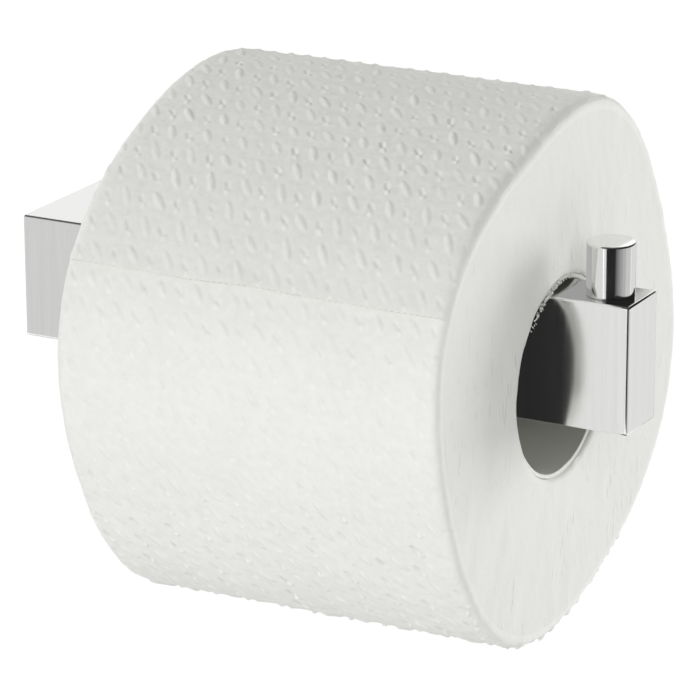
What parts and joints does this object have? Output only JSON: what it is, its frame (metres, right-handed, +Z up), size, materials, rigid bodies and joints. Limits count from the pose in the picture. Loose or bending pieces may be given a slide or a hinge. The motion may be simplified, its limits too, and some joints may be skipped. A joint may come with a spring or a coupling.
{
  "type": "toilet paper holder",
  "caption": "Wall-held L-shaped rectangular bar with an upright stop pin at its free end, carrying a paper roll that turns on it.",
  "frame": {"origin": "on the wall, at the centre of the wall bracket's rear face, which is the centre of the leg's section", "axes": "+X along the front bar towards its free end, +Y into the wall, +Z up"},
  "size_m": [0.158, 0.1663, 0.1231],
  "materials": {
    "brushed_bar": "brushed",
    "polished_pin": "polished",
    "plain_steel": "zinc plated, satin",
    "plug_nylon": "matte",
    "cardboard": "raw",
    "tissue": "embossed, matte"
  },
  "bodies": {
    "holder": {"front_bar": "brushed_bar", "wall_leg": "brushed_bar", "bar_end_cap": "brushed_bar", "stop_pin": "polished_pin", "pin_weld_nut": "plain_steel", "leg_weld_nut": "plain_steel", "grub_screw": "plain_steel", "wall_bracket": "plain_steel", "wall_screw_upper": "plain_steel", "wall_screw_lower": "plain_steel", "wall_plug_upper": "plug_nylon", "wall_plug_lower": "plug_nylon"},
    "roll": {"core_tube": "cardboard", "paper_roll": "tissue", "tail_sheet": "tissue"}
  },
  "joints": [
    {"name": "roll_spin", "type": "hinge", "parent": "holder", "child": "roll", "pos_m": [0.0839, -0.0674, -0.00612], "axis": [1, 0, 0], "continuous": true}
  ]
}
